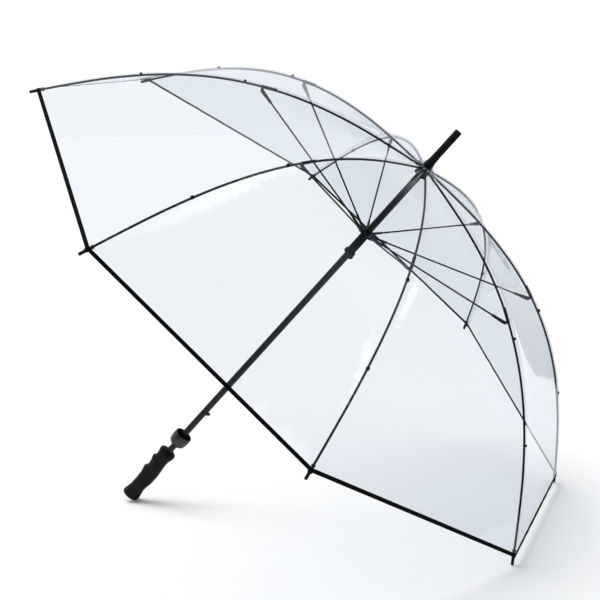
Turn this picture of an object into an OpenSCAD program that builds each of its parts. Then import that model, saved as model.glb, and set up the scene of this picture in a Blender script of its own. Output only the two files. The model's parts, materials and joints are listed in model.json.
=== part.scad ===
// Clear film umbrella, open and lying on two rib tips and the end of its grip.
// Everything is drawn upright first, with the shaft along Z and the rib hinges at Z = 0, and then laid down.

/* [Ribs] */
// Length of a rib along its bend, from its hinge to the hem
rib_length = 690; // [640:5:740]
// Slope of a rib below level at its hinge, in degrees
root_slope = 4.4; // [3:0.2:8]
// Slope of a rib below level at the hem, in degrees
hem_slope = 51; // [44:1:56]
// Share of the rib's length at which its stretcher joins it
joint_share = 0.45; // [0.4:0.01:0.48]
// Diameter of a rib rod
rib_d = 3.8; // [3:0.2:4.4]
// Diameter of a stretcher rod
stretcher_d = 3; // [2.4:0.2:3.4]

/* [Canopy] */
// Thickness of the clear film
film = 0.3; // [0.2:0.1:0.6]
// Width of the binding along the hem
hem_w = 6.5; // [4:0.5:12]
// Thickness of the folded binding
hem_t = 1; // [0.6:0.2:2]

/* [Shaft] */
// Outer diameter of the shaft tube
shaft_d = 12; // [11:0.5:12]
// Height of the rib hinges above the end of the grip
shaft_drop = 853; // [830:1:880]
// Length of the ferrule above the rib hinges
ferrule_top = 88; // [60:1:110]
// How far the runner's pivots lie below the rib hinges when open
runner_drop = 153; // [140:1:165]

/* [Grip] */
// Length of the grip
grip_l = 125; // [110:1:140]
// Radius of the grip at its palm
grip_r = 15.5; // [14:0.5:17]
// Radius of the flared butt
butt_r = 17.5; // [16.5:0.5:20]

/* [Hidden] */
rib_count = 8;
spacing = 360 / rib_count;
half = spacing / 2;

// Fits
fit = 0.05;
pin_gap = 0.06;
slide_gap = 0.08;
seam_gap = 0.1;
clear = 0.4;
big = 1000;

// Shaft and what is fixed on it
shaft_r = shaft_d / 2;
shaft_wall = 1;
shaft_foot = -shaft_drop + 8;
shaft_top = 20;
bore_r = shaft_r + fit;
washer_z = 4.4;
washer_r = 15;
washer_t = 0.8;
washer_gap = 0.1;
ferrule_z = washer_z + washer_t + washer_gap;
ferrule_flare_r = 10.4;
ferrule_flare_h = 2.4;
ferrule_waist_r = 8.2;
ferrule_waist_z = ferrule_z + 6;
ferrule_cone_r = 6.9;
ferrule_cone_z = 18;
ferrule_neck_z = 24;
ferrule_r = 5.7;
ferrule_round = 2;

// Rib hinges at the top notch
ring_r = 9.4;
ring_wire_r = 0.7;
eye_r = 2;
eye_t = 1.6;
eye_l = 5.2;
eye_h = 3;
root_clear_r = 4.4;
notch_r = 11.5;
notch_top = 2.6;
notch_foot = -14;
notch_slot_r = 7;
notch_slot_w = eye_t + clear;
notch_wide_z = -3.4;
notch_wide_w = rib_d + 0.7;

// Rib joints
rod_r = rib_d / 2;
bead = 0.05;
bead_l = 1.6;
inner_arcs = 3;
outer_arcs = 4;
arcs = inner_arcs + outer_arcs;
knuckle_r = rod_r - 0.2;
knuckle_w = 2.4;
knuckle_gap = 0.15;
sleeve_r = 2.7;
sleeve_start = -30;
sleeve_end = -3;
lug_x = -6;
lug_drop = 6.5;
lug_r = 2.4;
lug_t = 2.2;
rivet_r = 1;

// Stretchers
clevis_r = 2.6;
clevis_gap = lug_t + 0.3;
cheek_t = 1.2;
cheek_l = 12;
socket_start = 8;
socket_end = 26;
foot_l = 26;
foot_r = 2.2;
tongue_l = 8;
tongue_t = 2.2;
tongue_r = 1.8;
stretcher_r = stretcher_d / 2;

// Runner
runner_z = -runner_drop;
runner_pivot_r = 14.2;
crown_r = 16.5;
crown_top = 3;
crown_foot = -4;
crown_slot_r = 10;
crown_slot_w = tongue_t + 0.8;
runner_ring_r = 11.2;
runner_wire_r = 0.6;
runner_bore_r = shaft_r + slide_gap;
sleeve_tube_r = 8;
collar_r = 10.7;
collar_h = 5;
collar_taper = 4;
runner_l = 50;
catch_slot_w = 3.4;

// Catches, which press in towards the shaft's centre line
catch_t = 2.4;
catch_out = 11.2;
catch_in = 1.5;
catch_h = 4;
catch_slope = 4;
leaf_l = 30;
leaf_w = 3;
leaf_t = 1.2;
top_catch_z = runner_z - runner_l - catch_h - clear;
bottom_catch_z = -618;

// Cup that takes the rib tips when the umbrella is folded
cup_z = -696;
cup_r = 17.4;
cup_round = 8;
cup_rim = 14;
cup_foot = 13;
cup_wall = 1.8;
cup_floor = 5;

// Grip
grip_top = -shaft_drop + grip_l;
grip_foot = -shaft_drop + 7;
grip_foot_r = butt_r - 0.6;
grip_collar_r = grip_r + 0.6;
grip_heel_r = grip_r - 2;
grip_heel_z = grip_foot + 14;
grip_hollow_r = grip_r - 1.6;
grip_hollow_z = grip_foot + 34;
grip_palm_z = grip_foot + 56;
grip_palm_h = 22;
grip_round = 3;
groove_r = 13;
groove_depth = 3.4;
groove_pitch = 26;
groove_first = 16;
grooves = 2;
waist_r = 42;
waist_depth = 2.6;
waist_z = grip_top - 24;
butt_round = 3;
butt_h = 6.8;

// Tip caps
cap_r = 2.7;
cap_back = 12;
cap_out = 13;
cap_bore_r = rod_r + fit;
cap_bar_r = 1.5;
cap_bar_l = 7.8;

// Film panels
film_off = 3.1;
film_hole_r = 7;
gore_root_x = 4.7;
film_steps = 2;
seam_share = 0.002;

// Slope below level at a share s of the rib, which eases from one end's slope to the other's
function slope(s) = root_slope + (hem_slope - root_slope) * s * s * (3 - 2 * s);
// The rib is a chain of arcs that meet tangent to one another
function share(i) = i <= inner_arcs ? joint_share * i / inner_arcs
    : joint_share + (1 - joint_share) * (i - inner_arcs) / outer_arcs;
function turn(i) = slope(share(i + 1)) - slope(share(i));
function bend_r(i) = rib_length * (share(i + 1) - share(i)) * 180 / (PI * turn(i));
function arc_mid(i) = (slope(share(i)) + slope(share(i + 1))) / 2;
function arc_step(i) = 2 * bend_r(i) * sin(turn(i) / 2) * [cos(arc_mid(i)), -sin(arc_mid(i))];
// Knot i in the rib's own plane: distance from the shaft's centre line, height
function knot(i) = i == 0 ? [ring_r, 0] : knot(i - 1) + arc_step(i - 1);
function arc_centre(i) = knot(i) - bend_r(i) * [sin(slope(share(i))), cos(slope(share(i)))];
// Point a share f along arc i, off millimetres outside the rod's centre line
function on_arc(i, f, off) = arc_centre(i)
    + (bend_r(i) + off) * [sin(slope(share(i)) + f * turn(i)), cos(slope(share(i)) + f * turn(i))];
function along(p, a, x, y) = p + x * [cos(a), -sin(a)] + y * [sin(a), cos(a)];

joint_knot = knot(inner_arcs);
joint_slope = slope(joint_share);
lug_pivot = along(joint_knot, joint_slope, lug_x, -lug_drop);
runner_pivot = [runner_pivot_r, runner_z];
stretcher_l = norm(lug_pivot - runner_pivot);
stretcher_a = atan2(lug_pivot[1] - runner_pivot[1], lug_pivot[0] - runner_pivot[0]);
hem_knot = knot(arcs);
cap_end = along(hem_knot, hem_slope, cap_out - cap_r, 0);

// How the open umbrella lies: two tip caps and the butt's rim on the floor
cap_low = [cap_end[0] * cos(half), cap_end[1]];
butt_low = [butt_r - butt_round, -shaft_drop + butt_round];
rest_span = cap_low - butt_low;
tilt = atan2(rest_span[1], rest_span[0]) - asin((cap_r - butt_round) / norm(rest_span));
lift = butt_low[0] * sin(tilt) - butt_low[1] * cos(tilt) + butt_round;
front_points = [for (i = [0:arcs - 1], f = [0:0.1:1]) on_arc(i, f, film_off + film)];
front_x = max([for (p = front_points) p[0] * cos(half) * cos(tilt) + p[1] * sin(tilt)]);
back_tip = -cap_low[0] * cos(tilt) + cap_low[1] * sin(tilt) - cap_r;
back_butt = -butt_low[0] * cos(tilt) + butt_low[1] * sin(tilt) - butt_round;
middle_x = (front_x + min(back_tip, back_butt)) / 2;

$fn = 48;

module laid() translate([-middle_x, 0, lift]) rotate([0, tilt, 0]) children();

// Turns a rib's plane, drawn as XZ, to rib k's place round the shaft
module at_rib(k) laid() rotate([0, 0, (k - 0.5) * spacing]) children();

// Draws a shape of the XY plane upright in the rib's plane, t thick
module upright(t) rotate([90, 0, 0]) linear_extrude(height = t, center = true) children();

// Puts X along the rib at point p, sloping down by a
module on_rib(p, a) translate([p[0], 0, p[1]]) rotate([0, a, 0]) children();

module cross_pin(r, l) rotate([90, 0, 0]) cylinder(r = r, h = l, center = true);

module rod_x(r, from, to) translate([from, 0, 0]) rotate([0, 90, 0]) cylinder(r = r, h = to - from);

module ring(major_r, minor_r) rotate_extrude() translate([major_r, 0]) circle(minor_r);

module slots(from_r, w, z0, z1) for (k = [1:rib_count]) rotate([0, 0, (k - 0.5) * spacing])
    translate([from_r, -w / 2, z0]) cube([big, w, z1 - z0]);

module shaft_tube() color("#2b3137") laid() difference() {
    translate([0, 0, shaft_foot]) cylinder(r = shaft_r, h = shaft_top - shaft_foot);
    translate([0, 0, shaft_foot - 1]) cylinder(r = shaft_r - shaft_wall, h = shaft_top - shaft_foot + 2);
    for (z = [top_catch_z, bottom_catch_z])
        translate([0, -catch_t / 2 - clear, z - catch_h - clear])
            cube([shaft_d, catch_t + 2 * clear, catch_h * 2 + 2 * clear]);
}

module ferrule() color("#23282d") laid() difference() {
    rotate_extrude() union() {
        polygon([
            [0, ferrule_z], [ferrule_flare_r, ferrule_z], [ferrule_flare_r, ferrule_z + ferrule_flare_h],
            [ferrule_waist_r, ferrule_waist_z], [ferrule_cone_r, ferrule_cone_z],
            [ferrule_r, ferrule_neck_z], [ferrule_r, ferrule_top - ferrule_round],
            [ferrule_r - ferrule_round, ferrule_top - ferrule_round],
            [ferrule_r - ferrule_round, ferrule_top], [0, ferrule_top]
        ]);
        intersection() {
            translate([ferrule_r - ferrule_round, ferrule_top - ferrule_round]) circle(ferrule_round);
            square([big, big]);
        }
    }
    translate([0, 0, ferrule_z - 1]) cylinder(r = bore_r, h = shaft_top + fit - ferrule_z + 1);
}

module top_washer() color("#c9d0d8", 0.6) laid() translate([0, 0, washer_z]) difference() {
    cylinder(r = washer_r, h = washer_t);
    translate([0, 0, -1]) cylinder(r = bore_r, h = washer_t + 2);
}

module top_notch() color("#2b3137") laid() difference() {
    translate([0, 0, notch_foot]) cylinder(r = notch_r, h = notch_top - notch_foot);
    translate([0, 0, notch_foot - 1]) cylinder(r = bore_r, h = notch_top - notch_foot + 2);
    slots(notch_slot_r, notch_slot_w, notch_wide_z - 1, notch_top + 1);
    slots(notch_slot_r, notch_wide_w, notch_foot - 1, notch_wide_z);
    ring(ring_r, ring_wire_r + fit);
}

module notch_ring() color("#8d949b") laid() ring(ring_r, ring_wire_r);

// Pressed catch plate with its leaf inside the tube; its holding face looks up
module catch_plate(z) laid() translate([0, 0, z]) union() {
    upright(catch_t) polygon([
        [catch_in, -catch_h], [shaft_r, -catch_h], [catch_out, catch_h - catch_slope],
        [catch_out, catch_h], [catch_in, catch_h]
    ]);
    translate([catch_in, -leaf_w / 2, -leaf_l / 2]) cube([leaf_t, leaf_w, leaf_l]);
}

module top_catch() color("#3a4147") catch_plate(top_catch_z);

module bottom_catch() color("#3a4147") catch_plate(bottom_catch_z);

module tip_cup() color("#1d2023") laid() difference() {
    rotate_extrude() union() {
        translate([cup_r - cup_round, cup_z - cup_foot + cup_round]) circle(cup_round);
        translate([0, cup_z - cup_foot]) square([cup_r - cup_round, cup_rim + cup_foot]);
        translate([0, cup_z - cup_foot + cup_round]) square([cup_r, cup_rim + cup_foot - cup_round]);
    }
    rotate_extrude() union() {
        translate([cup_r - cup_round, cup_z - cup_foot + cup_floor + cup_round - cup_wall])
            circle(cup_round - cup_wall);
        translate([0, cup_z - cup_foot + cup_floor]) square([cup_r - cup_round, big]);
        translate([0, cup_z - cup_foot + cup_floor + cup_round - cup_wall])
            square([cup_r - cup_wall, cup_rim + cup_foot]);
    }
    translate([0, 0, cup_z - cup_foot - 1]) cylinder(r = bore_r, h = cup_floor + 2);
}

// Grip: a palm swell on the side towards the floor, two finger grooves on the other, a waist under the collar
module grip() color("#1c1e20") laid() difference() {
    rotate_extrude() union() {
        polygon([
            [0, grip_foot], [grip_foot_r, grip_foot], [grip_heel_r, grip_heel_z],
            [grip_hollow_r, grip_hollow_z], [grip_r, grip_palm_z], [grip_r, grip_palm_z + grip_palm_h],
            [grip_collar_r, grip_top - grip_round], [0, grip_top - grip_round]
        ]);
        translate([0, grip_top - grip_round]) square([grip_collar_r - grip_round, grip_round]);
        translate([grip_collar_r - grip_round, grip_top - grip_round]) circle(grip_round);
    }
    translate([0, 0, grip_foot - 1]) cylinder(r = bore_r, h = grip_l + 2);
    for (i = [0:grooves - 1])
        translate([-grip_r - groove_r + groove_depth, 0, grip_top - groove_first - i * groove_pitch])
            cross_pin(groove_r, big);
    translate([grip_r + waist_r - waist_depth, 0, waist_z]) cross_pin(waist_r, big);
}

module butt_cap() color("#17191b") laid() translate([0, 0, -shaft_drop]) rotate_extrude() union() {
    translate([butt_r - butt_round, butt_round]) circle(butt_round);
    square([butt_r - butt_round, butt_h]);
    translate([0, butt_round]) square([butt_r, butt_h - butt_round]);
}

module runner() color("#262c31") laid() translate([0, 0, runner_z]) difference() {
    union() {
        translate([0, 0, crown_foot]) cylinder(r = crown_r, h = crown_top - crown_foot);
        translate([0, 0, -runner_l]) cylinder(r = sleeve_tube_r, h = runner_l);
        translate([0, 0, -runner_l]) cylinder(r = collar_r, h = collar_h);
        translate([0, 0, -runner_l + collar_h])
            cylinder(r1 = collar_r, r2 = sleeve_tube_r, h = collar_taper);
    }
    translate([0, 0, -runner_l - 1]) cylinder(r = runner_bore_r, h = runner_l + crown_top + 2);
    slots(crown_slot_r, crown_slot_w, crown_foot - 1, crown_top + 1);
    ring(runner_ring_r, runner_wire_r + fit);
    translate([0, -catch_slot_w / 2, -runner_l - 1]) cube([big, catch_slot_w, runner_l + 1 + crown_foot]);
}

module runner_ring() color("#8d949b") laid() translate([0, 0, runner_z]) ring(runner_ring_r, runner_wire_r);

module rod_arc(i) translate([arc_centre(i)[0], 0, arc_centre(i)[1]]) rotate([90, 0, 0])
    rotate([0, 0, 90 - slope(share(i + 1))]) rotate_extrude(angle = turn(i))
        translate([bend_r(i), 0]) circle(rod_r);

// Arcs first to last as one rod, with a thin bead over each knot between them
module rod(first, last) {
    for (i = [first:last]) rod_arc(i);
    for (i = [first + 1:last]) on_rib(knot(i), slope(share(i))) rod_x(rod_r + bead, -bead_l / 2, bead_l / 2);
}

// Inner length of a rib: eye at the notch, rod, and the moulded sleeve with the stretcher's lug
module rib_inner(k) color("#1b1f23") at_rib(k) difference() {
    union() {
        difference() {
            rod(0, inner_arcs - 1);
            translate([ring_r, 0, 0]) cross_pin(root_clear_r, big);
        }
        on_rib([ring_r, 0], root_slope) upright(eye_t) union() {
            circle(eye_r);
            translate([0, -eye_h / 2]) square([eye_l, eye_h]);
        }
        on_rib(joint_knot, joint_slope) rod_x(sleeve_r, sleeve_start, sleeve_end);
        on_rib(joint_knot, joint_slope) upright(lug_t) union() {
            translate([lug_x - lug_r, -lug_drop]) square([2 * lug_r, lug_drop]);
            translate([lug_x, -lug_drop]) circle(lug_r);
        }
    }
    translate([ring_r, 0, 0]) cross_pin(ring_wire_r + slide_gap, big);
    translate([lug_pivot[0], 0, lug_pivot[1]]) cross_pin(rivet_r + pin_gap, big);
    translate([joint_knot[0], 0, joint_knot[1]]) cross_pin(rod_r + knuckle_gap, big);
}

// Outer length of a rib, which turns at its knuckle as the rod springs straight
module rib_outer(k) color("#1b1f23") at_rib(k) union() {
    rod(inner_arcs, arcs - 1);
    translate([joint_knot[0], 0, joint_knot[1]]) cross_pin(knuckle_r, knuckle_w);
}

// Stretcher, drawn from its rivet towards the runner
module stretcher(k) color("#22272c") at_rib(k) on_rib(lug_pivot, 180 - stretcher_a) union() {
    for (side = [-1, 1]) translate([0, side * (clevis_gap + cheek_t) / 2, 0]) upright(cheek_t) union() {
        circle(clevis_r);
        translate([0, -clevis_r]) square([cheek_l, 2 * clevis_r]);
    }
    cross_pin(rivet_r, clevis_gap + 2 * cheek_t);
    rod_x(clevis_r, socket_start, socket_end);
    rod_x(stretcher_r, socket_end - 1, stretcher_l - foot_l + 1);
    rod_x(foot_r, stretcher_l - foot_l, stretcher_l - tongue_r - root_clear_r);
    upright(tongue_t) union() {
        translate([stretcher_l - tongue_l, -tongue_r]) square([tongue_l, 2 * tongue_r]);
        translate([stretcher_l, 0]) circle(tongue_r);
    }
}

// Moulded cap on the rib's end, with the crossbar that the hem is tied to
module tip_cap(k) color("#14171a") at_rib(k) on_rib(hem_knot, hem_slope) difference() {
    union() {
        rod_x(cap_r, -cap_back, cap_out - cap_r);
        translate([cap_out - cap_r, 0, 0]) sphere(cap_r);
        cross_pin(cap_bar_r, cap_bar_l);
    }
    rod_x(cap_bore_r, -cap_back - 1, fit);
}

// Line of the film over the arcs first to last, in the plane half way between two ribs
function film_line(first, last, off) = [
    for (i = [first:last], j = [0:film_steps]) if (j < film_steps || i == last)
        let (p = on_arc(i, i == first && j == 0 ? seam_share : j / film_steps, off)) [p[0] * cos(half), p[1]]
];

// Half of a gore, from the seam over its rib to the gore's middle: straight across, bent along
module half_gore(first, last, side) rotate([0, 0, side * half]) intersection() {
    under = film_line(first, last, film_off);
    over = film_line(first, last, film_off + film);
    upright(big) polygon(concat(under, [for (i = [len(over) - 1:-1:0]) over[i]]));
    gore_wedge(side);
}

module gore_wedge(side) linear_extrude(height = 2 * big, center = true) polygon([
    [gore_root_x, -side * seam_gap], [big, -side * seam_gap],
    [big, side * (seam_gap - big * tan(half))]
]);

// Folded binding that stands on the film's outer face at the hem
module half_hem(side) rotate([0, 0, side * half]) intersection() {
    upright(big) polygon([for (c = [[-hem_w, film], [0, film], [0, hem_t], [-hem_w, hem_t]])
        let (p = along(hem_knot, hem_slope, c[0], film_off + c[1])) [p[0] * cos(half), p[1]]]);
    gore_wedge(side);
}

module film_inner(k) color("#dfe6ee", 0.4) at_rib(k) for (side = [-1, 1]) difference() {
    half_gore(0, inner_arcs - 1, side);
    translate([0, 0, -big]) cylinder(r = film_hole_r, h = 2 * big);
}

module film_outer(k) color("#dfe6ee", 0.4) at_rib(k) for (side = [-1, 1]) {
    half_gore(inner_arcs, arcs - 1, side);
    half_hem(side);
}

shaft_tube();
ferrule();
top_washer();
top_notch();
notch_ring();
top_catch();
bottom_catch();
tip_cup();
grip();
butt_cap();
runner();
runner_ring();
for (k = [1:rib_count]) {
    rib_inner(k);
    rib_outer(k);
    stretcher(k);
    tip_cap(k);
    film_inner(k);
    film_outer(k);
}
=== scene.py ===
import json
import math

import bpy
import numpy as np
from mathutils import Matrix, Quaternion, Vector


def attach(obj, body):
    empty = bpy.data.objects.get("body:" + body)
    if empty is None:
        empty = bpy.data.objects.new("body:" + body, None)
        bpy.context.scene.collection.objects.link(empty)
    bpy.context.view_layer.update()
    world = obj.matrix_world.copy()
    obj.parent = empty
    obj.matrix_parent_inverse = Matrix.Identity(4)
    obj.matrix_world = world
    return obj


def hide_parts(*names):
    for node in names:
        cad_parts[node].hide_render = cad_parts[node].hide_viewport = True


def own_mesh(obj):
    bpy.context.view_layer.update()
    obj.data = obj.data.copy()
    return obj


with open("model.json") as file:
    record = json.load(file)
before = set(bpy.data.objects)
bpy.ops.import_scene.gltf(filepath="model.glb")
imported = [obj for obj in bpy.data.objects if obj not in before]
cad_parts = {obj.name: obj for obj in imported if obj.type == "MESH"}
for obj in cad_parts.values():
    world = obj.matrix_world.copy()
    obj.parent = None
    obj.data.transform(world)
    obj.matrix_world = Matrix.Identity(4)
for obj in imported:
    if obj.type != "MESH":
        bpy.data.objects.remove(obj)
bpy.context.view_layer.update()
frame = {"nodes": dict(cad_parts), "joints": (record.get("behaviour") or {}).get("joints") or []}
joints = {j["name"]: j for j in frame["joints"]}
ribNumbers = range(1, 9)
goreAngle = math.radians(45)
halfGore = goreAngle / 2
print("frame loaded,", len(frame["nodes"]), "parts")


def unit(v):
    v = np.asarray(v, float)
    return v / np.linalg.norm(v, axis=-1, keepdims=True)


# the umbrella's own axes: X towards the floor side, Z up the shaft, from the hub at the rib hinges
hingePlaces = np.array([joints[f"rib_hinge_{k}"]["pos_m"] for k in ribNumbers])
hub = hingePlaces.mean(axis=0)
shaftUp = unit(joints["runner_slide"]["axis"])
floorSide = unit(hingePlaces[0] + hingePlaces[7] - 2 * hub)
acrossSide = np.cross(shaftUp, floorSide)
ownAxes = np.column_stack([floorSide, acrossSide, shaftUp])


def toFrame(points):
    # from the umbrella's own axes to the frame's
    return hub + np.asarray(points) @ ownAxes.T


def ribTurn(k):
    # angle of rib k round the shaft; ribs 1 and 8 stand on the floor
    return (k - 0.5) * goreAngle


def around(angle, radius, height):
    # a point at that angle and radius from the shaft's centre line
    return np.stack([radius * np.cos(angle), radius * np.sin(angle), height + 0 * radius * angle], axis=-1)


# the rib's bend: its slope in degrees eases from rootSlope to hemSlope along its length, as 3 s^2 - 2 s^3
# of the share s of its length, and the radius and height are the slope's cosine and sine summed up
rib = {"length": 0.690, "rootSlope": 4.4, "hemSlope": 51.0, "jointShare": 0.45, "hingeRadius": 0.0094}

tableShare = np.linspace(-0.01, 1.0, 2021)
easedShare = np.clip(tableShare, 0, 1)
tableSlope = np.radians(
    rib["rootSlope"] + (rib["hemSlope"] - rib["rootSlope"]) * easedShare**2 * (3 - 2 * easedShare)
)
stepLength = np.diff(tableShare) * rib["length"]
midSlope = (tableSlope[1:] + tableSlope[:-1]) / 2
tableRadius = np.concatenate([[0], np.cumsum(stepLength * np.cos(midSlope))])
tableHeight = np.concatenate([[0], -np.cumsum(stepLength * np.sin(midSlope))])
tableRadius += rib["hingeRadius"] - np.interp(0, tableShare, tableRadius)
tableHeight -= np.interp(0, tableShare, tableHeight)


def ribAt(share, off=0.0):
    # radius, height and slope of the rib's centre line at that share of its length,
    # moved off along its outer normal
    slope = np.interp(share, tableShare, tableSlope)
    radius = np.interp(share, tableShare, tableRadius) + off * np.sin(slope)
    height = np.interp(share, tableShare, tableHeight) + off * np.cos(slope)
    return radius, height, slope


jointRadius, jointHeight, jointSlope = (float(v) for v in ribAt(rib["jointShare"]))
jointPlace = toFrame(around(ribTurn(1), jointRadius, jointHeight))
jointMiss = np.linalg.norm(jointPlace - joints["rib_flex_1"]["pos_m"])
print("rib curve passes %.2f mm from the joint's pin" % (1000 * jointMiss))


def linear(hexCode):
    parts = [int(hexCode[i : i + 2], 16) / 255 for i in (1, 3, 5)]
    return tuple(p / 12.92 if p <= 0.04045 else ((p + 0.055) / 1.055) ** 2.4 for p in parts) + (1.0,)


def meshObject(name, points, quads, material, uv=None, smooth=True):
    mesh = bpy.data.meshes.new(name)
    mesh.from_pydata(points.tolist(), [], quads)
    mesh.polygons.foreach_set("use_smooth", np.full(len(mesh.polygons), smooth))
    if uv is not None:
        layer = mesh.uv_layers.new(name="sheetMetres")
        corner = np.zeros(len(mesh.loops), np.int32)
        mesh.loops.foreach_get("vertex_index", corner)
        layer.data.foreach_set("uv", uv[corner].astype(np.float32).ravel())
    mesh.materials.append(material)
    mesh.update()
    thing = bpy.data.objects.new(name, mesh)
    bpy.context.scene.collection.objects.link(thing)
    return thing


def gridQuads(rows, columns, closeRows=False, closeColumns=False, flip=False):
    # quads of a grid of points, row by row; a closed direction joins its last line to its first
    r = np.arange(rows if closeRows else rows - 1)
    c = np.arange(columns if closeColumns else columns - 1)
    r0, c0 = np.meshgrid(r, c, indexing="ij")
    r1, c1 = (r0 + 1) % rows, (c0 + 1) % columns
    quads = np.stack([r0 * columns + c0, r0 * columns + c1, r1 * columns + c1, r1 * columns + c0], axis=-1)
    quads = quads.reshape(-1, 4)
    return (quads[:, ::-1] if flip else quads).tolist()


def gatherParts(parts):
    # several (points, quads) as one mesh's points and quads
    points, quads, count = [], [], 0
    for p, q in parts:
        p = np.asarray(p).reshape(-1, 3)
        points.append(p)
        quads += [[i + count for i in face] for face in q]
        count += len(p)
    return np.concatenate(points), quads


def roundedProfile(corners, roundness, steps=5):
    # an open profile of (radius, height) corners, each inner corner replaced by a short curve:
    # a quadratic blend from one side to the other, starting "roundness" metres away from the corner
    corners = np.asarray(corners, float)
    rounds = np.broadcast_to(np.asarray(roundness, float), (len(corners),))
    made = [corners[:1]]
    for before, here, after, r in zip(corners[:-2], corners[1:-1], corners[2:], rounds[1:-1]):
        r = min(r, np.linalg.norm(before - here) * 0.48, np.linalg.norm(after - here) * 0.48)
        start, end = here + unit(before - here) * r, here + unit(after - here) * r
        t = np.linspace(0, 1, steps)[:, None]
        made.append((1 - t) ** 2 * start + 2 * t * (1 - t) * here + t**2 * end)
    made.append(corners[-1:])
    return np.concatenate(made)


def lathe(profile, sides=64, wobble=None, closed=False):
    # profile points (radius, height), bottom to top, carried round the shaft's centre line;
    # wobble(angle, height) scales the radius; an open profile's two ends are capped
    profile = np.asarray(profile, float)
    angle = np.linspace(0, 2 * np.pi, sides, endpoint=False)
    a, r = np.meshgrid(angle, profile[:, 0], indexing="ij")
    h = np.broadcast_to(profile[:, 1], a.shape)
    if wobble is not None:
        r = r * wobble(a, h)
    points = np.stack([r * np.cos(a), r * np.sin(a), h], axis=-1)
    quads = gridQuads(sides, len(profile), closeRows=True, closeColumns=closed, flip=True)
    if not closed:
        first = [i * len(profile) for i in range(sides)]
        quads += [first[::-1], [i + len(profile) - 1 for i in first]]
    return toFrame(points.reshape(-1, 3)), quads


def tubeAlong(path, side, radius, sides):
    # a round tube with capped ends along a flat path; side is the direction square to the path's plane,
    # and the radius may change along it
    path, side = np.asarray(path, float), unit(side)
    forward = unit(np.gradient(path, axis=0))
    up = unit(np.cross(forward, side))
    r = np.broadcast_to(np.asarray(radius, float), (len(path),))[:, None, None]
    angle = np.linspace(0, 2 * np.pi, sides, endpoint=False)[None, :, None]
    rings = path[:, None, :] + r * (np.cos(angle) * side + np.sin(angle) * up[:, None, :])
    quads = gridQuads(len(path), sides, closeColumns=True)
    points = rings.reshape(-1, 3)
    quads.append(list(range(sides))[::-1])
    quads.append([len(points) - sides + i for i in range(sides)])
    return points, quads


def addNode(tree, kind, inputs=None, **settings):
    node = tree.nodes.new(kind)
    for key, value in settings.items():
        setattr(node, key, value)
    for key, value in (inputs or {}).items():
        if isinstance(value, bpy.types.NodeSocket):
            tree.links.new(value, node.inputs[key])
        else:
            node.inputs[key].default_value = value
    return node


def newMaterial(name):
    # an empty material with its output node
    material = bpy.data.materials.new(name)
    material.use_nodes = True
    tree = material.node_tree
    tree.nodes.clear()
    output = addNode(tree, "ShaderNodeOutputMaterial")
    return material, tree, output


def hardFinish(name, look):
    # a painted, moulded or drawn surface: two close shades mottled by noise, fine grain as bump,
    # and a roughness that varies with the grain
    material, tree, output = newMaterial(name)
    place = addNode(tree, "ShaderNodeTexCoord").outputs["Object"]
    mottle = addNode(
        tree, "ShaderNodeTexNoise", {"Vector": place, "Scale": look["mottleScale"], "Detail": 4.0}
    )
    shade = addNode(tree, "ShaderNodeValToRGB", {"Fac": mottle.outputs["Fac"]})
    shade.color_ramp.elements[0].position, shade.color_ramp.elements[1].position = 0.3, 0.72
    shade.color_ramp.elements[0].color = linear(look["dark"])
    shade.color_ramp.elements[1].color = linear(look["light"])
    grain = addNode(
        tree, "ShaderNodeTexNoise", {"Vector": place, "Scale": look["grainScale"], "Detail": 3.0}
    )
    rough = addNode(
        tree,
        "ShaderNodeMapRange",
        {"Value": grain.outputs["Fac"], "To Min": look["roughness"][0], "To Max": look["roughness"][1]},
    )
    bump = addNode(
        tree,
        "ShaderNodeBump",
        {"Height": grain.outputs["Fac"], "Strength": look["bump"], "Distance": look["depth"]},
    )
    shader = addNode(
        tree,
        "ShaderNodeBsdfPrincipled",
        {
            "Base Color": shade.outputs["Color"],
            "Roughness": rough.outputs["Result"],
            "Normal": bump.outputs["Normal"],
            "Metallic": look.get("metallic", 0.0),
            "IOR": look.get("ior", 1.5),
            "Specular IOR Level": look.get("gloss", 0.5),
        },
    )
    tree.links.new(shader.outputs["BSDF"], output.inputs["Surface"])
    return material


# satin powder paint over a steel tube: faint orange peel, one soft streak of light down its length
shaftPaint = hardFinish(
    "satinPowderPaint",
    {"dark": "#060a0f", "light": "#0e161d", "mottleScale": 9.0, "grainScale": 900.0,
     "roughness": (0.3, 0.42), "bump": 0.15, "depth": 0.0004, "ior": 1.52, "gloss": 0.3},
)
# glass-filled nylon: dull with a fine spark-eroded grain
nylonBlack = hardFinish(
    "mouldedNylon",
    {"dark": "#0c1014", "light": "#171c21", "mottleScale": 40.0, "grainScale": 2200.0,
     "roughness": (0.42, 0.6), "bump": 0.3, "depth": 0.0003, "ior": 1.53, "gloss": 0.16},
)
# hard gloss plastic of the cup: smoother, with a clearer reflection
cupPlastic = hardFinish(
    "cupPlastic",
    {"dark": "#0f1317", "light": "#1a1f24", "mottleScale": 30.0, "grainScale": 1500.0,
     "roughness": (0.3, 0.42), "bump": 0.12, "depth": 0.0003, "ior": 1.5, "gloss": 0.5},
)
# drawn steel wire, zinc bright: pale, with a small hard glint
wireSteel = hardFinish(
    "zincWire",
    {"dark": "#7b8288", "light": "#a9b0b6", "mottleScale": 300.0, "grainScale": 3000.0,
     "roughness": (0.25, 0.45), "bump": 0.1, "depth": 0.0002, "metallic": 1.0},
)
# pultruded glass fibre with black lacquer: slightly glossy, faint waviness
rodLacquer = hardFinish(
    "lacqueredFibreRod",
    {"dark": "#06090c", "light": "#0f1418", "mottleScale": 60.0, "grainScale": 700.0,
     "roughness": (0.26, 0.4), "bump": 0.12, "depth": 0.0004, "ior": 1.55, "gloss": 0.2},
)
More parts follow.
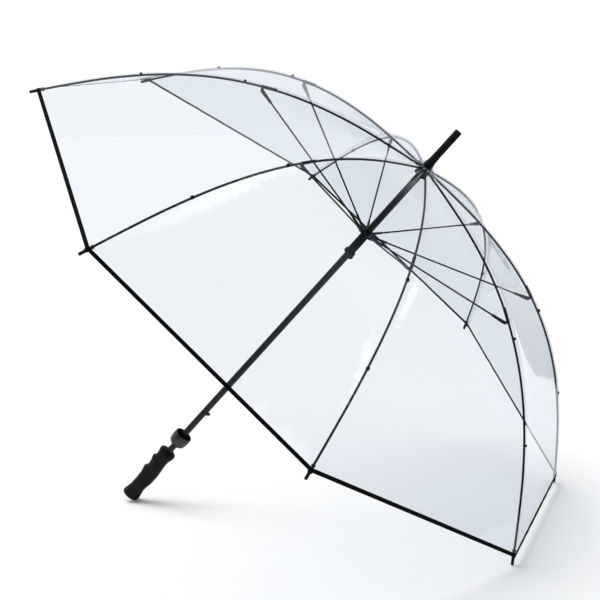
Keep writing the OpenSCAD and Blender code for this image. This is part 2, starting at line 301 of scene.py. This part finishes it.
# enamelled spring steel of the stretchers: an even thin black with a narrow highlight
stretcherEnamel = hardFinish(
    "stretcherEnamel",
    {"dark": "#080c10", "light": "#12181e", "mottleScale": 60.0, "grainScale": 900.0,
     "roughness": (0.3, 0.45), "bump": 0.12, "depth": 0.0003, "ior": 1.52, "gloss": 0.25},
)


def gripFinish():
    # matt rubber: tiny pimples from a cell pattern, worn a little smoother and greyer in patches
    material, tree, output = newMaterial("mattGripRubber")
    place = addNode(tree, "ShaderNodeTexCoord").outputs["Object"]
    cells = addNode(tree, "ShaderNodeTexVoronoi", {"Vector": place, "Scale": 620.0}, feature="F1")
    wear = addNode(tree, "ShaderNodeTexNoise", {"Vector": place, "Scale": 26.0, "Detail": 5.0})
    shade = addNode(tree, "ShaderNodeValToRGB", {"Fac": wear.outputs["Fac"]})
    shade.color_ramp.elements[0].position, shade.color_ramp.elements[1].position = 0.35, 0.75
    shade.color_ramp.elements[0].color = linear("#0a0c0e")
    shade.color_ramp.elements[1].color = linear("#14171a")
    rough = addNode(
        tree, "ShaderNodeMapRange", {"Value": wear.outputs["Fac"], "To Min": 0.82, "To Max": 0.6}
    )
    bump = addNode(
        tree, "ShaderNodeBump", {"Height": cells.outputs["Distance"], "Strength": 0.5, "Distance": 0.0004}
    )
    shader = addNode(
        tree,
        "ShaderNodeBsdfPrincipled",
        {
            "Base Color": shade.outputs["Color"],
            "Roughness": rough.outputs["Result"],
            "Normal": bump.outputs["Normal"],
            "IOR": 1.52,
            "Specular IOR Level": 0.22,
        },
    )
    tree.links.new(shader.outputs["BSDF"], output.inputs["Surface"])
    return material


gripRubber = gripFinish()


def tapeFinish():
    # woven polyester binding: fine cross ribs over lengthwise yarns, with a dull sheen
    material, tree, output = newMaterial("wovenBindingTape")
    cloth = addNode(tree, "ShaderNodeUVMap", uv_map="sheetMetres").outputs["UV"]
    weft = addNode(
        tree, "ShaderNodeTexWave", {"Vector": cloth, "Scale": 420.0, "Distortion": 0.6}, bands_direction="X"
    )
    warp = addNode(
        tree, "ShaderNodeTexWave", {"Vector": cloth, "Scale": 520.0, "Distortion": 0.4}, bands_direction="Y"
    )
    weave = addNode(
        tree, "ShaderNodeMath", {0: weft.outputs["Fac"], 1: warp.outputs["Fac"]}, operation="MULTIPLY"
    )
    shade = addNode(tree, "ShaderNodeValToRGB", {"Fac": weave.outputs["Value"]})
    shade.color_ramp.elements[0].color = linear("#060708")
    shade.color_ramp.elements[1].color = linear("#101315")
    bump = addNode(
        tree, "ShaderNodeBump", {"Height": weave.outputs["Value"], "Strength": 0.5, "Distance": 0.0003}
    )
    shader = addNode(
        tree,
        "ShaderNodeBsdfPrincipled",
        {
            "Base Color": shade.outputs["Color"],
            "Roughness": 0.82,
            "Normal": bump.outputs["Normal"],
            "Specular IOR Level": 0.12,
        },
    )
    tree.links.new(shader.outputs["BSDF"], output.inputs["Surface"])
    return material


bindingTape = tapeFinish()


def clearFinish(name, look):
    # soft clear vinyl: most light goes straight through, a little bluer; it mirrors about 5% face on and
    # far more at a glancing angle, the same from either side because the sheet is thin;
    # broad waves bend that mirror image, with slanted crinkles beside a rib, and a faint haze lies over it,
    # thicker along the weld
    material, tree, output = newMaterial(name)
    place = addNode(tree, "ShaderNodeTexCoord").outputs["Object"]
    waves = addNode(
        tree, "ShaderNodeTexNoise", {"Vector": place, "Scale": look["waveScale"], "Detail": 1.5}
    )
    bump = addNode(
        tree,
        "ShaderNodeBump",
        {"Height": waves.outputs["Fac"], "Strength": 1.0, "Distance": look["waveDepth"]},
    )
    hazeShare = look["haze"]
    if "weld" in look:
        cloth = addNode(tree, "ShaderNodeUVMap", uv_map="sheetMetres").outputs["UV"]
        fromRib = addNode(tree, "ShaderNodeSeparateXYZ", {"Vector": cloth}).outputs["X"]
        slanted = addNode(
            tree,
            "ShaderNodeMapping",
            {"Vector": cloth, "Rotation": (0, 0, 0.6), "Scale": (26.0, 90.0, 1.0)},
        )
        folds = addNode(
            tree,
            "ShaderNodeTexNoise",
            {"Vector": slanted.outputs[0], "Scale": 1.0, "Detail": 3.0, "Distortion": 0.8},
        )
        nearRib = addNode(
            tree,
            "ShaderNodeMapRange",
            {"Value": fromRib, "From Min": 0.0, "From Max": 0.055, "To Min": 1.0, "To Max": 0.0},
            interpolation_type="SMOOTHSTEP",
        )
        creased = addNode(
            tree,
            "ShaderNodeMath",
            {0: folds.outputs["Fac"], 1: nearRib.outputs["Result"]},
            operation="MULTIPLY",
        )
        bump = addNode(
            tree,
            "ShaderNodeBump",
            {
                "Height": creased.outputs["Value"],
                "Strength": 1.0,
                "Distance": look["crinkle"],
                "Normal": bump.outputs["Normal"],
            },
        )
        hazeShare = addNode(
            tree,
            "ShaderNodeMapRange",
            {
                "Value": fromRib,
                "From Min": 0.0036,
                "From Max": 0.0044,
                "To Min": look["weld"],
                "To Max": look["haze"],
            },
        ).outputs["Result"]
    facing = addNode(tree, "ShaderNodeLayerWeight", {"Blend": 0.5, "Normal": bump.outputs["Normal"]})
    grazing = addNode(tree, "ShaderNodeMath", {0: facing.outputs["Facing"], 1: 4.0}, operation="POWER")
    mirrorShare = addNode(
        tree,
        "ShaderNodeMapRange",
        {"Value": grazing.outputs["Value"], "To Min": look["mirror"], "To Max": 0.7},
    )
    through = addNode(tree, "ShaderNodeBsdfTransparent", {"Color": look["tint"]})
    haze = addNode(tree, "ShaderNodeBsdfDiffuse", {"Color": linear("#e6edf5"), "Roughness": 0.4})
    mirror = addNode(
        tree,
        "ShaderNodeBsdfGlossy",
        {"Color": linear("#fafcff"), "Roughness": look["roughness"], "Normal": bump.outputs["Normal"]},
    )
    clouded = addNode(
        tree, "ShaderNodeMixShader", {0: hazeShare, 1: through.outputs[0], 2: haze.outputs[0]}
    )
    film = addNode(
        tree,
        "ShaderNodeMixShader",
        {0: mirrorShare.outputs["Result"], 1: clouded.outputs[0], 2: mirror.outputs[0]},
    )
    tree.links.new(film.outputs[0], output.inputs["Surface"])
    return material


filmClear = clearFinish(
    "clearVinylFilm",
    {"waveScale": 8.0, "waveDepth": 0.0009, "crinkle": 0.0007, "mirror": 0.048,
     "tint": (0.834, 0.866, 0.902, 1.0), "roughness": 0.05, "haze": 0.002, "weld": 0.02},
)
washerClear = clearFinish(
    "clearGatheredFilm",
    {"waveScale": 300.0, "waveDepth": 0.0014, "mirror": 0.3,
     "tint": (0.66, 0.71, 0.76, 1.0), "roughness": 0.1, "haze": 0.3},
)
print("finishes made")


canopy = {
    "off": 0.0032,  # the film lies this far outside the rods' centre lines
    "holeRadius": 0.0072,  # the film's hole round the shaft
    "sag": 0.008,  # how far a gore's middle pulls in between its ribs
    "tent": 0.0026,  # how far it drops away from the rod that holds it up, mostly within "tentWidth"
    "tentWidth": 0.022,
    "rippleHub": 0.0012,  # height of the small gathers at the hub and at the hem
    "rippleHem": 0.0009,
    "rows": 40,
    "columns": 22,
}


def gorePoints(k, side, share, t):
    # one half of a gore beside rib k: t is 0 on the rib and 1 at the gore's middle, and share runs from
    # hub to hem. Straight across from rib to rib, bent along as the rib is, then pulled in by a sag that
    # is flat at the middle and nil at the hem and by a short slope off the rod, with small gathers at the
    # hub and at the hem
    radius, height, slope = ribAt(share, canopy["off"])
    span = radius * math.sin(halfGore)
    x = radius * math.cos(halfGore)
    y = -side * span * (1 - t)
    goreSlope = np.arctan(np.tan(slope) / math.cos(halfGore))
    sag = canopy["sag"] * np.sin(np.pi * np.clip(share, 0, 1)) ** 0.8 * (1 - (1 - t) ** 2)
    hubFade = np.clip(1 - share / 0.22, 0, 1) ** 2
    hemFade = np.clip((share - 0.86) / 0.14, 0, 1) ** 2 * np.clip(span / 0.2, 0, 1)
    across = np.sin(np.pi / 2 * t) ** 2
    ripple = canopy["rippleHub"] * hubFade * np.cos(5 * np.pi * (1 - t)) * across
    ripple = ripple + canopy["rippleHem"] * hemFade * np.cos(9 * np.pi * (1 - t)) * across * (1 - t)
    tent = canopy["tent"] * (1 - np.exp(-t * span / canopy["tentWidth"]))
    tent = tent * np.clip(share / 0.1, 0, 1) * np.clip((1 - share) / 0.08, 0, 1)
    lift = ripple - sag - tent
    x = x + lift * np.sin(goreSlope)
    height = height + lift * np.cos(goreSlope)
    turn = ribTurn(k) + side * halfGore
    local = [x * math.cos(turn) - y * math.sin(turn), x * math.sin(turn) + y * math.cos(turn), height]
    return toFrame(np.stack(local, -1))


def splitShare(t):
    # share at which the plane square to the rib at its joint meets the film, for each t across
    shares = np.linspace(0.35, 0.7, 701)
    radius, height, slope = ribAt(shares, canopy["off"])
    inward = 1 - t[:, None] * math.sin(halfGore) ** 2
    out = radius[None, :] * inward - jointRadius
    up = height[None, :] - jointHeight
    past = out * math.cos(jointSlope) - up * math.sin(jointSlope)
    return np.array([np.interp(0, row, shares) for row in past])


def surfaceArea(points):
    # area of a grid of points: half the cross product of each cell's diagonals
    d1 = points[1:, 1:] - points[:-1, :-1]
    d2 = points[1:, :-1] - points[:-1, 1:]
    return float(0.5 * np.linalg.norm(np.cross(d1, d2), axis=-1).sum())


firstShare = float(np.interp(canopy["holeRadius"], ribAt(tableShare, canopy["off"])[0], tableShare))
across = np.linspace(0, 1, canopy["columns"]) ** 1.5  # closer together near the rib
jointShares = splitShare(across)


def addFilm(k, side, part):
    # half a gore's film from the hub to the joint or from the joint to the hem, with its measured flat size
    t = across[None, :]
    start = np.full(len(across), firstShare) if part == "inner" else jointShares
    end = jointShares if part == "inner" else np.ones(len(across))
    v = np.linspace(0, 1, canopy["rows"])[:, None]
    share = start[None, :] * (1 - v) + end[None, :] * v
    points = gorePoints(k, side, share, t + 0 * share)
    fromRib = ribAt(share, canopy["off"])[0] * math.sin(halfGore) * t
    uv = np.stack([fromRib, share * rib["length"]], -1).reshape(-1, 2)
    letter = "a" if side > 0 else "b"
    piece = meshObject(
        f"film_{part}_{k}{letter}",
        points.reshape(-1, 3),
        gridQuads(canopy["rows"], canopy["columns"], flip=side < 0),
        filmClear,
        uv,
    )
    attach(piece, f"rib_{part}_{k}")
    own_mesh(piece)
    width = float(np.linalg.norm(points[-1, 0] - points[-1, -1]))
    length = float(np.linalg.norm(np.diff(points[:, 0], axis=0), axis=-1).sum())
    return piece, width, length, surfaceArea(points)


hem = {"width": 0.0062, "thick": 0.0011, "overhang": 0.0006, "puckers": 38, "rows": 60, "sides": 16}


def addHem(k, side):
    # a folded tape over the film's edge: a flat rounded loop carried from the rib's tip to the middle
    t = np.linspace(0, 1, hem["rows"])
    edge = gorePoints(k, side, np.ones_like(t), t)
    inner = gorePoints(k, side, np.full_like(t, 1 - hem["width"] / rib["length"]), t)
    inward = unit(inner - edge)
    forward = unit(np.gradient(edge, axis=0))
    outer = unit(np.cross(forward, inward)) * side
    a = np.linspace(0, 2 * np.pi, hem["sides"], endpoint=False)
    reach = (hem["width"] + hem["overhang"]) / 2
    alongTape = hem["width"] / 2 - reach * np.sign(np.cos(a)) * np.abs(np.cos(a)) ** 0.5
    upTape = hem["thick"] / 2 * np.sign(np.sin(a)) * np.abs(np.sin(a)) ** 0.6
    pucker = 1 + 0.12 * np.sin(t * 2 * np.pi * hem["puckers"])
    points = (
        edge[:, None, :]
        + inward[:, None, :] * alongTape[None, :, None]
        + outer[:, None, :] * (upTape[None, :] * pucker[:, None])[:, :, None]
    )
    quads = gridQuads(hem["rows"], hem["sides"], closeColumns=True, flip=side > 0)
    first = list(range(hem["sides"]))
    last = [(hem["rows"] - 1) * hem["sides"] + i for i in first]
    quads += [first[::-1], last] if side < 0 else [first, last[::-1]]
    run = np.concatenate([[0], np.cumsum(np.linalg.norm(np.diff(edge, axis=0), axis=-1))])
    uv = np.stack(np.broadcast_arrays(run[:, None], alongTape[None, :]), -1).reshape(-1, 2)
    piece = meshObject(f"hem_{k}{'a' if side > 0 else 'b'}", points.reshape(-1, 3), quads, bindingTape, uv)
    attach(piece, f"rib_outer_{k}")
    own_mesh(piece)
    return piece


for k in ribNumbers:
    for side in (1, -1):
        binding = addHem(k, side)
        for part in ("inner", "outer"):
            piece, width, length, area = addFilm(k, side, part)
            if side > 0:
                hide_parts(f"film_{part}_{k}")
print("canopy made, each half gore %.0f mm wide at the hem" % (1000 * ribAt(1.0)[0] * math.sin(halfGore)))


washer = {
    "innerRadius": 0.0063,
    "outerRadius": 0.0178,
    "height": 0.0052,
    "droop": 0.0016,
    "waves": 13,
    "waveHeight": 0.0026,
    "sides": 156,
    "rings": 14,
}


def addWasher():
    # a thin disc whose height waves round it more and more towards its edge, under the ferrule's foot
    r = np.linspace(washer["innerRadius"], washer["outerRadius"], washer["rings"])
    a = np.linspace(0, 2 * np.pi, washer["sides"], endpoint=False)
    aa, rr = np.meshgrid(a, r, indexing="ij")
    grow = ((rr - r[0]) / (r[-1] - r[0])) ** 1.4
    wave = np.sin(washer["waves"] * aa) + 0.4 * np.sin(5 * aa + 1.3)
    edge = 1 + 0.08 * np.sin(7 * aa) * grow
    h = washer["height"] + washer["waveHeight"] * grow * wave - washer["droop"] * grow
    local = np.stack([rr * edge * np.cos(aa), rr * edge * np.sin(aa), h], -1)
    quads = gridQuads(washer["sides"], washer["rings"], closeRows=True)
    piece = meshObject("top_washer_film", toFrame(local.reshape(-1, 3)), quads, washerClear)
    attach(piece, "shaft")
    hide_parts("top_washer")


addWasher()


ferrule = {"foot": 0.0055, "flareRadius": 0.0088, "rodRadius": 0.0065, "top": 0.088}


def addFerrule():
    # lathe profile: foot ring, short neck, then a straight rod with a rounded end
    rod = ferrule["rodRadius"]
    corners = [
        (0.0005, ferrule["foot"]),
        (ferrule["flareRadius"] - 0.0002, ferrule["foot"]),
        (ferrule["flareRadius"], ferrule["foot"] + 0.0062),
        (ferrule["flareRadius"] - 0.0006, 0.0134),
        (rod + 0.0008, 0.0172),
        (rod, 0.034),
        (rod + 0.0001, ferrule["top"] - 0.0001),
        (0.0005, ferrule["top"]),
    ]
    rounds = [0, 0.0008, 0.001, 0.002, 0.003, 0.006, 0.0056, 0]
    points, quads = lathe(roundedProfile(corners, rounds, 9), 56)
    piece = meshObject("ferrule_rod", points, quads, nylonBlack)
    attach(piece, "shaft")
    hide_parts("ferrule")


addFerrule()


cup = {"middle": -0.696, "radius": 0.0175, "rim": -0.682, "foot": -0.7095, "flutes": 8, "fluteDepth": 0.012}


def cupFlutes(a, h):
    # narrow shallow grooves down the bowl, stopping short of the rim
    groove = np.clip(np.cos(cup["flutes"] * a), 0, 1) ** 6
    return 1 - cup["fluteDepth"] * groove * (h < cup["rim"] - 0.003)


def addCup():
    # lathe profile: a short foot round the tube, a swelling bowl, a rolled rim and the hollow inside
    corners = [
        (0.0061, cup["foot"]),
        (0.0094, cup["foot"]),
        (0.0106, cup["foot"] + 0.0016),
        (0.0156, cup["foot"] + 0.0052),
        (cup["radius"] - 0.0002, cup["middle"] + 0.002),
        (cup["radius"], cup["middle"] + 0.008),
        (cup["radius"] - 0.0008, cup["rim"]),
        (cup["radius"] - 0.0019, cup["rim"]),
        (cup["radius"] - 0.0019, cup["middle"] - 0.001),
        (0.0112, cup["foot"] + 0.0056),
        (0.0061, cup["foot"] + 0.0054),
    ]
    rounds = [0, 0.0006, 0.001, 0.004, 0.006, 0.002, 0.0007, 0.0007, 0.004, 0.003, 0]
    points, quads = lathe(roundedProfile(corners, rounds), 96, cupFlutes, closed=True)
    piece = meshObject("tip_cup_bowl", points, quads, cupPlastic)
    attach(piece, "shaft")
    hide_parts("tip_cup")


addCup()


grip = {
    "top": -0.728,
    "end": -0.8532,
    "rows": 190,
    "sides": 72,
    # fine grooves across the palm's lower half: where they start and stop, their spacing and depth
    "grooves": {"from": -0.795, "to": -0.838, "middle": -0.812, "pitch": 0.0052, "depth": 0.00035},
    # (height below the hinges, radius) down the finger side, the palm side and the two flanks, in mm
    "finger": [
        (-728, 9.0), (-729.2, 15.6), (-731, 17.4), (-735, 16.8), (-741, 15.2), (-751.5, 14.1),
        (-754.6, 18.2), (-757.5, 17.6), (-765, 15.0), (-774, 13.5), (-779.6, 14.0), (-782.8, 17.2),
        (-786.5, 16.7), (-799, 13.7), (-816, 12.9), (-832, 13.0), (-844, 14.9), (-851.2, 16.0),
        (-852.8, 14.8), (-853.2, 8.0),
    ],
    "palm": [
        (-728, 9.0), (-729.4, 14.8), (-732, 16.1), (-736, 16.0), (-745, 13.8), (-753, 13.0), (-763, 13.8),
        (-778, 15.6), (-789, 16.5), (-805, 16.4), (-815, 15.0), (-826, 14.0), (-836, 15.8), (-845, 17.8),
        (-849.8, 17.2), (-851.9, 15.6), (-852.8, 8.0),
    ],
    "flank": [
        (-728, 9.0), (-729.4, 14.6), (-733, 15.6), (-748, 14.2), (-770, 14.4), (-790, 15.6), (-812, 14.6),
        (-830, 13.8), (-845, 16.0), (-851.0, 16.2), (-852.6, 14.6), (-853.0, 8.0),
    ],
}


def smoothLine(knots, heights):
    # radius at each height from a table of knots, eased between them, then softened over 2 mm
    table = np.array(knots[::-1], float)
    fine = np.interp(heights * 1000, table[:, 0], table[:, 1]) / 1000
    kernel = np.array([1, 2, 3, 2, 1]) / 9.0
    padded = np.concatenate([fine[:1]] * 2 + [fine] + [fine[-1:]] * 2)
    return np.convolve(padded, kernel, "valid")


def addGrip():
    # radius round the shaft blends the finger, palm and flank lines by the square of the angle's cosine;
    # the finger steps curl a little down towards the flanks
    rows, sides = grip["rows"], grip["sides"]
    heights = np.linspace(grip["top"], grip["end"], rows)
    a = np.linspace(0, 2 * np.pi, sides, endpoint=False)
    aa, hh = np.meshgrid(a, heights, indexing="ij")
    c = np.cos(aa)
    curl = 0.004 * (1 - np.abs(c)) ** 1.5
    fingerLine = smoothLine(grip["finger"], heights)
    finger = np.interp(-(hh + curl), -heights, fingerLine)
    palm = np.broadcast_to(smoothLine(grip["palm"], heights), aa.shape)
    flank = np.broadcast_to(smoothLine(grip["flank"], heights), aa.shape)
    share = np.where(c < 0, np.abs(c) ** 1.3, c**2)
    radius = flank * (1 - share) + np.where(c < 0, finger, palm) * share
    grooves = grip["grooves"]
    wave = np.clip(np.cos((hh - grooves["middle"]) * 2 * np.pi / grooves["pitch"]), 0, 1)
    grooved = (hh < grooves["from"]) & (hh > grooves["to"])
    radius = radius - grooves["depth"] * wave * grooved * np.clip(c, 0, 1)
    local = np.stack([radius * np.cos(aa), radius * np.sin(aa), hh], -1)
    ends = np.array([[0.0, 0.0, grip["end"] - 0.0001], [0.0, 0.0, grip["top"]]])
    points = np.concatenate([toFrame(local.reshape(-1, 3)), toFrame(ends)])
    quads = gridQuads(sides, rows, closeRows=True)
    foot, head = len(points) - 2, len(points) - 1
    for i in range(sides):
        here, beside = i * rows, (i + 1) % sides * rows
        quads += [[foot, beside + rows - 1, here + rows - 1], [head, here, beside]]
    piece = meshObject("grip_rubber", points, quads, gripRubber)
    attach(piece, "shaft")
    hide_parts("grip", "butt_cap")


addGrip()
print("shaft fittings made")


def onRib(k, share):
    # the place on rib k's centre line and the directions forward along it, off its outside and sideways
    radius, height, slope = ribAt(share)
    turn = ribTurn(k)
    out = ownAxes @ np.array([math.cos(turn), math.sin(turn), 0])
    side = ownAxes @ np.array([-math.sin(turn), math.cos(turn), 0])
    place = hub + radius * out + height * shaftUp
    forward = math.cos(slope) * out - math.sin(slope) * shaftUp
    normal = math.sin(slope) * out + math.cos(slope) * shaftUp
    return place, forward, normal, side


tipCap = {
    # the thimble's distance along the rod's end and its radius, in mm
    "along": [-12.5, -12.4, -11.6, -9.5, -9.0, 0, 6, 9.6, 10.4, 11.4, 12.3, 12.9, 13.2],
    "radius": [2.1, 3.1, 3.3, 3.2, 2.75, 2.7, 2.6, 2.55, 2.7, 2.55, 1.95, 1.1, 0.05],
    # the cross lug's, sideways, and how far it sits off the rod's middle
    "lugAlong": [-4.2, -4.0, -3.4, 3.4, 4.0, 4.2],
    "lugRadius": [0.4, 1.2, 1.6, 1.6, 1.2, 0.4],
    "lugOff": 0.6,
}


def addTipCap(k):
    # a moulded thimble on the rod's end: a collar at its mouth, a ball nose and a cross lug sewn to the hem
    place, forward, normal, side = onRib(k, 1.0)
    along, radius, lugAlong, lugRadius = (
        np.array(tipCap[key]) / 1000 for key in ("along", "radius", "lugAlong", "lugRadius")
    )
    body = tubeAlong(place + along[:, None] * forward, side, radius, 20)
    lugMiddle = place + normal * tipCap["lugOff"] / 1000
    lug = tubeAlong(lugMiddle + lugAlong[:, None] * side, normal, lugRadius, 14)
    points, quads = gatherParts([body, lug])
    piece = meshObject(f"tip_cap_{k}_moulded", points, quads, nylonBlack)
    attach(piece, f"rib_outer_{k}")
    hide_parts(f"tip_cap_{k}")


ties = {"shares": (0.487, 0.74), "ringRadius": 0.0026, "threadRadius": 0.0005, "turns": 4}


def addTies(k):
    # black thread wound round the rod and through the film: a stack of small rings, slightly flattened
    parts = []
    for share in ties["shares"]:
        place, forward, normal, side = onRib(k, share)
        a = np.linspace(0, 2 * np.pi, 24, endpoint=False)
        b = np.linspace(0, 2 * np.pi, 8, endpoint=False)
        aa, bb = np.meshgrid(a, b, indexing="ij")
        for i in range(ties["turns"]):
            shift = (i - (ties["turns"] - 1) / 2) * 2 * ties["threadRadius"]
            ring = ties["ringRadius"] + ties["threadRadius"] * np.cos(bb)
            tall = 1 + 0.28 * np.clip(np.sin(aa), 0, 1)
            points = (
                place
                + (ring * np.cos(aa))[..., None] * side
                + (ring * tall * np.sin(aa))[..., None] * normal
                + (ties["threadRadius"] * np.sin(bb) + shift)[..., None] * forward
            )
            parts.append((points, gridQuads(24, 8, closeRows=True, closeColumns=True, flip=True)))
    points, quads = gatherParts(parts)
    piece = meshObject(f"canopy_ties_{k}", points, quads, nylonBlack)
    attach(piece, f"rib_outer_{k}")


for k in ribNumbers:
    addTipCap(k)
    addTies(k)
print("tip caps and ties made")


# finishes on the parts that carry over as they are
carried = {
    "shaft_tube": shaftPaint,
    "top_notch": nylonBlack,
    "runner": nylonBlack,
    "top_catch": stretcherEnamel,
    "bottom_catch": stretcherEnamel,
    "notch_ring": wireSteel,
    "runner_ring": wireSteel,
}
for k in ribNumbers:
    carried[f"rib_inner_{k}"] = rodLacquer
    carried[f"rib_outer_{k}"] = rodLacquer
    carried[f"stretcher_{k}"] = stretcherEnamel
for name, finish in carried.items():
    mesh = frame["nodes"][name].data
    mesh.materials.clear()
    mesh.materials.append(finish)


studio = {
    # the floor's sides: it stops short on the right, where the film would mirror it
    "floor": {"left": -8.0, "right": 0.74, "near": -4.0, "far": 12.0},
    "seen": 1.05,  # brightness of the white seen directly, the same as the far floor's
    # as light: the room in front, the wall behind, where the wall is, and how the one eases to the other
    "front": 0.03,
    "back": 1.0,
    "wallTowards": (-0.55, 0.45, 0.70),
    "wallEase": (-0.1, 0.8),
    "sky": {"place": (-1.5, 0.9, 3.2), "strength": 1.72, "spread": 40.0},
    # soft windows the film mirrors: middle direction, long direction, half sizes as sines, strength;
    # the last is a dark flag that keeps the film over the shaft's top clear
    "windows": [
        [(0.712, -0.235, 0.655), (0.27, 0.963, -0.017), (0.52, 0.085), 2.6],
        [(0.78, 0.62, 0.07), (0.12, -0.13, -0.08), (0.15, 0.04), 4.0],
        [(0.415, -0.395, 0.82), (0.27, 0.963, -0.017), (0.17, 0.05), 3.5],
        [(0.47, 0.53, 0.70), (-0.22, 0.6, -0.29), (0.5, 0.34), -0.7],
    ],
    "viewpoint": (0.7994, -2.4899, 0.8339),
    "aim": (0.0116, -0.1044, 0.4086),
    "roll": -2.84,
    "lens": 89.07,
}


def addFloor():
    # a matt white paper sheet
    edge = studio["floor"]
    sides = [("left", "near"), ("right", "near"), ("right", "far"), ("left", "far")]
    corners = np.array([[edge[x], edge[y], 0] for x, y in sides])
    material, tree, output = newMaterial("whitePaperFloor")
    shader = addNode(
        tree,
        "ShaderNodeBsdfPrincipled",
        {"Base Color": (0.95, 0.95, 0.95, 1.0), "Roughness": 0.9, "IOR": 1.2},
    )
    tree.links.new(shader.outputs["BSDF"], output.inputs["Surface"])
    piece = meshObject("floor", corners, [[0, 1, 2, 3]], material, smooth=False)


def addSky():
    # one wide lamp for the floor and the soft shadows, left out of mirror images so its rim never shows
    lamp = studio["sky"]
    data = bpy.data.lights.new("sky", "SUN")
    data.energy, data.angle = lamp["strength"], math.radians(lamp["spread"])
    light = bpy.data.objects.new("sky", data)
    light.location = lamp["place"]
    light.rotation_euler = (-Vector(lamp["place"])).to_track_quat("-Z", "Y").to_euler()
    light.visible_glossy = False
    bpy.context.scene.collection.objects.link(light)


def addWindow(tree, direction, middle, along, halfSizes, strength):
    # strength of a soft oval window: full inside, eased to nothing at its rim and behind the room's middle
    middle = unit(middle)
    along = unit(along - np.dot(along, middle) * middle)
    squares = []
    for axis, half in zip((along, np.cross(middle, along)), halfSizes):
        reach = addNode(
            tree, "ShaderNodeVectorMath", {0: direction, 1: tuple(axis / half)}, operation="DOT_PRODUCT"
        ).outputs["Value"]
        square = addNode(tree, "ShaderNodeMath", {0: reach, 1: reach}, operation="MULTIPLY")
        squares.append(square.outputs["Value"])
    away = addNode(tree, "ShaderNodeMath", {0: squares[0], 1: squares[1]}, operation="ADD")
    inside = addNode(
        tree,
        "ShaderNodeMapRange",
        {
            "Value": away.outputs["Value"],
            "From Min": 0.15,
            "From Max": 1.0,
            "To Min": strength,
            "To Max": 0.0,
        },
        interpolation_type="SMOOTHSTEP",
    )
    facing = addNode(
        tree, "ShaderNodeVectorMath", {0: direction, 1: tuple(middle)}, operation="DOT_PRODUCT"
    )
    ahead = addNode(tree, "ShaderNodeMath", {0: facing.outputs["Value"], 1: 0.0}, operation="GREATER_THAN")
    return addNode(
        tree,
        "ShaderNodeMath",
        {0: inside.outputs["Result"], 1: ahead.outputs["Value"]},
        operation="MULTIPLY",
    ).outputs["Value"]


def addRoom():
    # white seen directly; as light, the wall behind the object is bright and the room in front dark,
    # with soft windows in it
    world = bpy.data.worlds.new("studio")
    bpy.context.scene.world = world
    world.use_nodes = True
    tree = world.node_tree
    tree.nodes.clear()
    direction = addNode(tree, "ShaderNodeTexCoord").outputs["Generated"]
    depth = addNode(
        tree, "ShaderNodeVectorMath", {0: direction, 1: studio["wallTowards"]}, operation="DOT_PRODUCT"
    ).outputs["Value"]
    room = addNode(
        tree,
        "ShaderNodeMapRange",
        {
            "Value": depth,
            "From Min": studio["wallEase"][0],
            "From Max": studio["wallEase"][1],
            "To Min": studio["front"],
            "To Max": studio["back"],
        },
        interpolation_type="SMOOTHSTEP",
    ).outputs["Result"]
    for window in studio["windows"]:
        glow = addWindow(tree, direction, *window)
        room = addNode(tree, "ShaderNodeMath", {0: room, 1: glow}, operation="ADD").outputs["Value"]
    room = addNode(tree, "ShaderNodeMath", {0: room, 1: 0.0}, operation="MAXIMUM").outputs["Value"]
    seen = addNode(tree, "ShaderNodeLightPath").outputs["Is Camera Ray"]
    strength = addNode(tree, "ShaderNodeMix", {"Factor": seen, "A": room, "B": studio["seen"]})
    light = addNode(
        tree, "ShaderNodeBackground", {"Color": (1, 1, 1, 1), "Strength": strength.outputs["Result"]}
    )
    output = addNode(tree, "ShaderNodeOutputWorld")
    tree.links.new(light.outputs[0], output.inputs["Surface"])


addFloor()
addSky()
addRoom()
bpy.context.scene.view_settings.view_transform = "Standard"
bpy.context.scene.cycles.transparent_max_bounces = 40

cameraData = bpy.data.cameras.new("camera")
camera = bpy.data.objects.new("camera", cameraData)
bpy.context.scene.collection.objects.link(camera)
cameraData.lens, cameraData.sensor_width = studio["lens"], 36
camera.location = studio["viewpoint"]
towards = Vector(studio["aim"]) - Vector(studio["viewpoint"])
camera.rotation_mode = "QUATERNION"
roll = Quaternion((0, 0, 1), math.radians(studio["roll"]))
camera.rotation_quaternion = towards.to_track_quat("-Z", "Y") @ roll
bpy.context.scene.camera = camera
